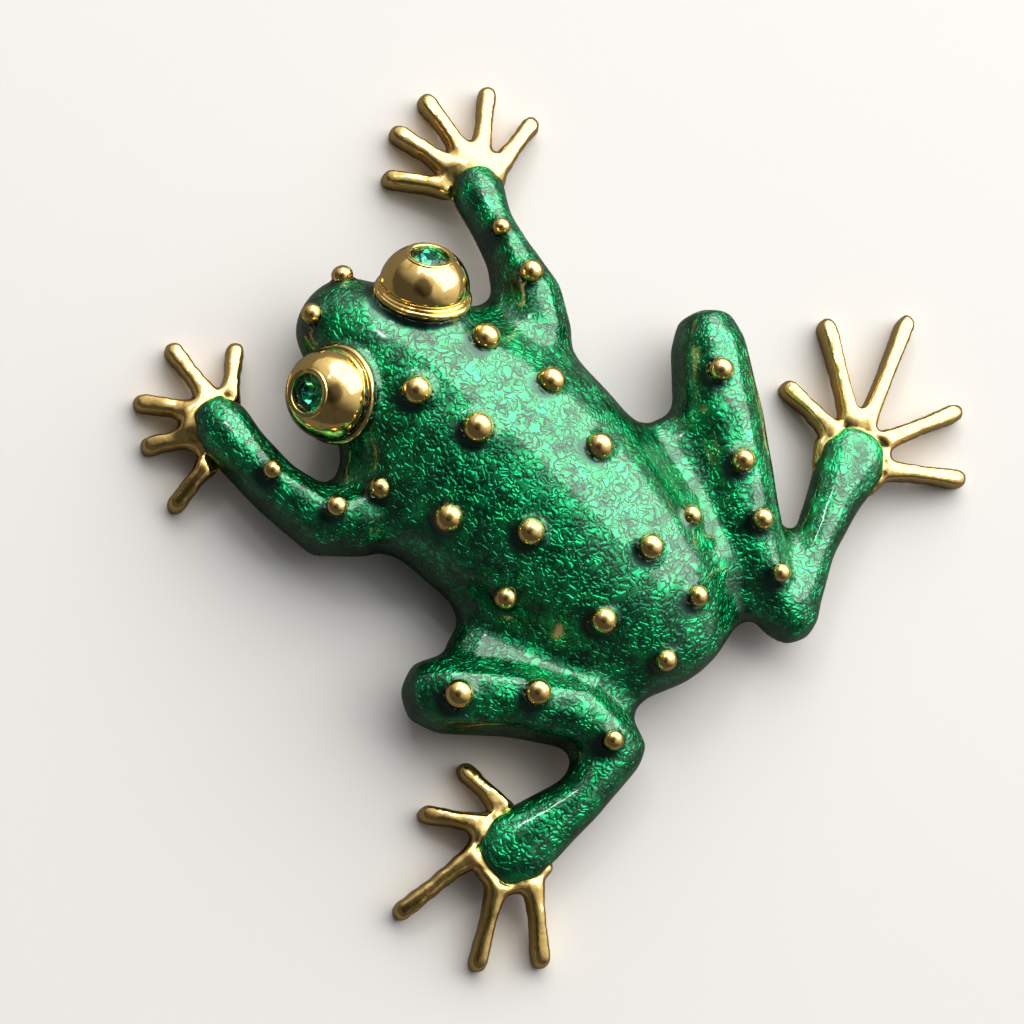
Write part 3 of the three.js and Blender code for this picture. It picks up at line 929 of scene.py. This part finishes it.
@dataclass
class Eyes:
    """The turned gold cups and the cut stones that they hold."""

    sides: int = 72
    stone_sides: int = 8
    opening: float = 1.24 * MM  # radius of the bezel's mouth
    shoulder: float = 2.95 * MM  # radius of the round body
    body_height: float = 2.8 * MM  # from the flange to the bezel's top
    roundness: float = 0.94  # 1 gives a round shoulder, less a fuller one
    girdle: float = 1.4 * MM  # radius of the stone
    table: float = 0.74 * MM  # radius of its flat top

    def build(self) -> None:
        """Turns both eyes."""
        for side in ("left", "right"):
            self._cup(side)
            self._stone(side)

    def _cup(self, side: str) -> None:
        """Turns a cup with its flange, groove, round body and bezel."""
        name = f"eye_cup_{side}"
        line = Turning(name)
        flange, top = line.radius, line.height
        opening, foot = self.opening, line.height - self.body_height
        shoulder, collar = self.shoulder, opening + 0.36 * MM
        profile = [(0.0, 0.0), (flange * 0.7, 0.0), (flange * 0.96, foot - 0.25 * MM)]
        profile += arc((flange - 0.24 * MM, foot), 0.24 * MM, -50, 110, 10)
        profile += arc((flange - 0.36 * MM, foot + 0.42 * MM), 0.11 * MM, 250, 160, 4)
        reach = top - foot - 0.5 * MM
        stop = math.acos(((collar + 0.08 * MM) / shoulder) ** (1 / self.roundness))
        for t in np.linspace(0.12, stop, 22):
            height = foot + 0.42 * MM + reach * math.sin(t) / math.sin(stop)
            profile.append((shoulder * math.cos(t) ** self.roundness, height))
        crease = profile[-1][1]
        profile.append((collar + 0.03 * MM, crease + 0.02 * MM))
        profile += arc((collar - 0.1 * MM, crease + 0.04 * MM), 0.11 * MM, 0, 95, 5)
        profile += arc((opening + 0.1 * MM, crease + 0.03 * MM), 0.1 * MM, 90, 180, 5)
        profile += [(opening, crease - 0.3 * MM), (1.45 * MM, crease - 0.42 * MM)]
        profile.append((0.25 * MM, crease - 1.6 * MM))
        profile.append((0.0, crease - 1.62 * MM))
        points, faces = lathe(profile, self.sides)
        around = np.arctan2(points[:, 1], points[:, 0])
        wave = np.sin(3 * around + 1.1) + 0.6 * np.sin(5 * around + 0.3) + 0.5 * np.sin(8 * around)
        near_flange = np.clip(1 - np.abs(points[:, 2] - foot) / (0.9 * MM), 0, 1)
        points[:, :2] *= (1 + 0.009 * wave * near_flange)[:, None]
        points[:, 2] += 0.03 * MM * np.sin(4 * around + 2.0) * near_flange
        piece = new_mesh_object(f"cup_{side}", points, faces)
        piece.data.transform(line.turn())
        finish = GoldPlate(name="gold_cup", wave_scale=420.0, wave_depth=0.16 * MM, pits=0.06, roughness=0.1)
        piece.data.materials.append(finish.material())
        settle(piece, Body.BROOCH, [name])

    def _stone(self, side: str) -> None:
        """Cuts a stone: a clear crown over a foiled, faceted back."""
        name = f"eye_stone_{side}"
        cup = Turning(f"eye_cup_{side}")
        girdle, table, count = self.girdle, self.table, self.stone_sides
        seat, top = cup.height - 0.36 * MM, cup.height + 0.04 * MM
        points: list[tuple[float, float, float]] = [(0.0, 0.0, seat - 1.0 * MM)]

        def ring(radius: float, height: float, number: int, shift: float) -> list[int]:
            """Adds a ring of points and gives their numbers."""
            first = len(points)
            for k in range(number):
                turn = 2 * math.pi * (k + shift) / number
                points.append((radius * math.cos(turn), radius * math.sin(turn), height))
            return list(range(first, first + number))

        lower = ring(0.62 * girdle, seat - 0.5 * MM, count, 0.5)
        girdle_low = ring(girdle, seat - 0.03 * MM, 2 * count, 0.0)
        girdle_high = ring(girdle, seat + 0.03 * MM, 2 * count, 0.0)
        middle = ring((girdle + table) * 0.52, seat + 0.25 * MM, count, 0.5)
        flat = ring(table, top, count, 0.0)
        back, front = [], []
        for k in range(count):
            after = (k + 1) % count
            first, edge, last = girdle_low[2 * k], girdle_low[2 * k + 1], girdle_low[2 * after]
            back += [[0, lower[after], lower[k]], [lower[k], edge, first], [lower[k], last, edge]]
            back.append([lower[k], lower[after], last])
            edge = girdle_high[2 * k + 1]
            front += [[girdle_high[2 * k], edge, middle[k]], [edge, girdle_high[2 * after], middle[k]]]
            front.append([girdle_high[2 * k], middle[k], flat[k]])
            front.append([middle[k], girdle_high[2 * after], flat[after]])
            front.append([flat[k], middle[k], flat[after]])
        for k in range(2 * count):
            after = (k + 1) % (2 * count)
            front.append([girdle_low[k], girdle_low[after], girdle_high[after], girdle_high[k]])
        front.append(flat)
        piece = new_mesh_object(f"stone_{side}", np.array(points), back + front, smooth=False)
        piece.data.transform(cup.turn())
        # a fixed lighter or darker share for each facet: painted glints on the foil
        layer = piece.data.attributes.new("painted_glint", "FLOAT", "FACE")
        painted_glints = [((7 * k + 3) % 11) / 10 for k in range(len(piece.data.polygons))]
        layer.data.foreach_set("value", np.array(painted_glints, dtype=np.float32))
        piece.data.materials.append(Foil().material())
        piece.data.materials.append(CutGlass().material())
        for polygon in piece.data.polygons:
            polygon.material_index = 0 if polygon.index < len(back) else 1
        settle(piece, Body.BROOCH, [name])


@dataclass
class Findings:
    """The pin with its hinge and its turning catch, with softly worn edges."""

    voxel: float = 0.045 * MM
    wear: float = 0.05 * MM

    def build(self) -> None:
        """Makes each fitting on the body that it moves with."""
        fine_gold = GoldPlate(
            name="gold_fitting",
            wave_scale=1400.0,
            wave_depth=0.012 * MM,
            pits=0.3,
            roughness=0.2,
        )
        wire_gold = GoldPlate(
            name="gold_wire",
            colour=(0.93, 0.75, 0.42),
            wave_scale=2200.0,
            wave_depth=0.006 * MM,
            pits=0.2,
            roughness=0.17,
        )
        for name in ("hinge_bracket", "hinge_rivet", "catch_housing"):
            self._fitting(name, Body.BROOCH, fine_gold)
        self._fitting("catch_rotor", Body.CATCH, fine_gold)
        self._fitting("pin_stem", Body.PIN, wire_gold)

    def _fitting(self, name: str, body: Body, finish: GoldPlate) -> None:
        """Wears a fitting's edges on a fine grid.

        Args:
            name: the fitting's frame node.
            body: the body that it rides on.
            finish: its metal.
        """
        clay = Clay(voxel=self.voxel, reach=5, margin=0.4 * MM, corners=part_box(name))
        points, quads = clay.surface(clay.blurred(clay.solid(name), self.wear))
        piece = new_mesh_object(f"fine_{name}", points, quads)
        piece.data.materials.append(finish.material())
        settle(piece, body, [name])


# --------------------------------------------------------------------------- studio


@dataclass
class Studio:
    """The floor, the lights and the camera."""

    tilt: float = 15.0  # camera's lean from straight above, towards the frog's left
    heading: float = 135.8  # picture angle of the snout, in degrees from straight right
    distance: float = 230.0 * MM
    focal_length: float = 125.35
    floor_half: float = 3.0  # half the floor's width
    aim: Vector = field(default_factory=lambda: Vector((-3.1046, -0.8943, 3.864)) * MM)

    def build(self) -> None:
        """Sets up the whole studio."""
        self._camera()
        self._floor()
        self._lights()
        self._world()

    def _camera(self) -> None:
        """Places the camera above the brooch."""
        lean, heading = math.radians(self.tilt), math.radians(self.heading)
        ahead = Vector((0, 1, 0))
        across = Vector((math.cos(lean), 0, math.sin(lean)))
        towards = Vector((-math.sin(lean), 0, math.cos(lean)))
        side = heading - math.pi / 2
        right = math.cos(side) * across + math.cos(heading) * ahead
        up = math.sin(side) * across + math.sin(heading) * ahead
        place = self.aim + towards * self.distance
        camera = bpy.data.objects.new("camera", bpy.data.cameras.new("camera"))
        camera.data.lens = self.focal_length
        camera.data.sensor_width = 36.0
        camera.data.clip_start = 0.005
        camera.data.clip_end = 20.0
        turn = Matrix((right, up, towards)).transposed()
        camera.matrix_world = Matrix.Translation(place) @ turn.to_4x4()
        bpy.context.scene.collection.objects.link(camera)
        bpy.context.scene.camera = camera

    def _floor(self) -> None:
        """Lays a wide floor under the digits, plain and pale to the camera, with a painted dark reflection
        where the metal mirrors it.
        """
        bottom = CAD_BOX[0][2]
        half = self.floor_half
        corners = [(-half, -half), (half, -half), (half, half), (-half, half)]
        points = np.array([(x, y, bottom) for x, y in corners])
        floor = new_mesh_object("floor", points, [[0, 1, 2, 3]])
        material = bpy.data.materials.new("floor_paper")
        material.use_nodes = True
        nodes, links = material.node_tree.nodes, material.node_tree.links
        shader = nodes["Principled BSDF"]
        shader.inputs["Roughness"].default_value = 0.85
        shader.inputs["Specular IOR Level"].default_value = 0.2
        # painted reflection: the floor shows dark only in glossy reflections, pale elsewhere
        path = nodes.new("ShaderNodeLightPath")
        tone_and_painted_reflection = mix_colours(nodes, (0.74, 0.73, 0.71), (0.14, 0.135, 0.13))
        links.new(path.outputs["Is Glossy Ray"], tone_and_painted_reflection.inputs["Factor"])
        links.new(tone_and_painted_reflection.outputs["Result"], shader.inputs["Base Color"])
        floor.data.materials.append(material)

    def _panel(
        self,
        name: str,
        aside: tuple[float, float],
        distance: float,
        size: tuple[float, float],
        glow: float,
        colour: Colour,
    ) -> None:
        """Hangs a soft panel that faces the brooch.

        Args:
            name: its name.
            aside: its bearing from +X towards +Y, and its height over the floor, in degrees.
            distance: how far it hangs.
            size: its width and height.
            glow: how bright its face is.
            colour: the tint of its light.
        """
        bearing, height = map(math.radians, aside)
        level = math.cos(height)
        towards = Vector((level * math.cos(bearing), level * math.sin(bearing), math.sin(height)))
        light = bpy.data.lights.new(name, "AREA")
        light.shape = "RECTANGLE"
        light.size, light.size_y = size
        light.energy = glow * math.pi * size[0] * size[1]
        light.color = colour
        lamp = bpy.data.objects.new(name, light)
        lamp.location = towards * distance
        lamp.rotation_euler = (-towards).to_track_quat("-Z", "Y").to_euler()
        bpy.context.scene.collection.objects.link(lamp)

    def _lights(self) -> None:
        """Hangs the window-like key and a small sparkle."""
        self._panel("key_panel", (6, 40), 0.5, (0.9, 0.56), 3.0, (1.0, 0.98, 0.95))
        self._panel("sparkle", (75, 52), 0.6, (0.05, 0.05), 26.0, (1.0, 1.0, 1.0))

    def _world(self) -> None:
        """Fills the room with light that is paler beside the window and darker away from it."""
        world = bpy.data.worlds.new("room")
        world.use_nodes = True
        nodes, links = world.node_tree.nodes, world.node_tree.links
        where = nodes.new("ShaderNodeTexCoord")
        lean = math.radians(self.tilt)
        window = self._ramp(world, where, (0.93, 0.1, 0.45), (-0.15, 0.07), (0.85, 0.95))
        maker = self._ramp(world, where, (-math.sin(lean), 0.0, math.cos(lean)), (0.86, 1.0), (0.97, 0.22))
        room = nodes.new("ShaderNodeMath")
        room.operation = "MULTIPLY"
        links.new(window, room.inputs[0])
        links.new(maker, room.inputs[1])
        links.new(room.outputs[0], nodes["Background"].inputs["Color"])
        nodes["Background"].inputs["Strength"].default_value = 1.0
        bpy.context.scene.world = world
        bpy.context.scene.view_settings.view_transform = "Standard"

    @staticmethod
    def _ramp(
        world: bpy.types.World,
        where: bpy.types.Node,
        towards: tuple[float, float, float],
        start: tuple[float, float],
        end: tuple[float, float],
    ) -> bpy.types.NodeSocket:
        """A brightness that changes with how far the sky lies towards a direction.

        Args:
            world: the world that it is for.
            where: the node that gives the sky's directions.
            towards: the direction.
            start: a share of the way towards it, and the brightness there.
            end: another share, and the brightness there.

        Returns:
            The brightness.
        """
        nodes, links = world.node_tree.nodes, world.node_tree.links
        share = nodes.new("ShaderNodeVectorMath")
        share.operation = "DOT_PRODUCT"
        share.inputs[1].default_value = towards
        links.new(where.outputs["Generated"], share.inputs[0])
        ramp = nodes.new("ShaderNodeMapRange")
        ramp.interpolation_type = "SMOOTHSTEP"
        ramp.inputs["From Min"].default_value = start[0]
        ramp.inputs["To Min"].default_value = start[1]
        ramp.inputs["From Max"].default_value = end[0]
        ramp.inputs["To Max"].default_value = end[1]
        links.new(share.outputs["Value"], ramp.inputs["Value"])
        return ramp.outputs["Result"]


def main() -> None:
    """Builds the brooch and its studio."""
    logging.basicConfig(level=logging.INFO, format="%(name)s %(message)s")
    clay = Clay()
    LOG.info("grid of %s", clay.shape)
    Studio().build()
    EnamelAndCasting(clay).build()
    Studs().build()
    Eyes().build()
    Findings().build()


if __name__ == "__main__":
    main()
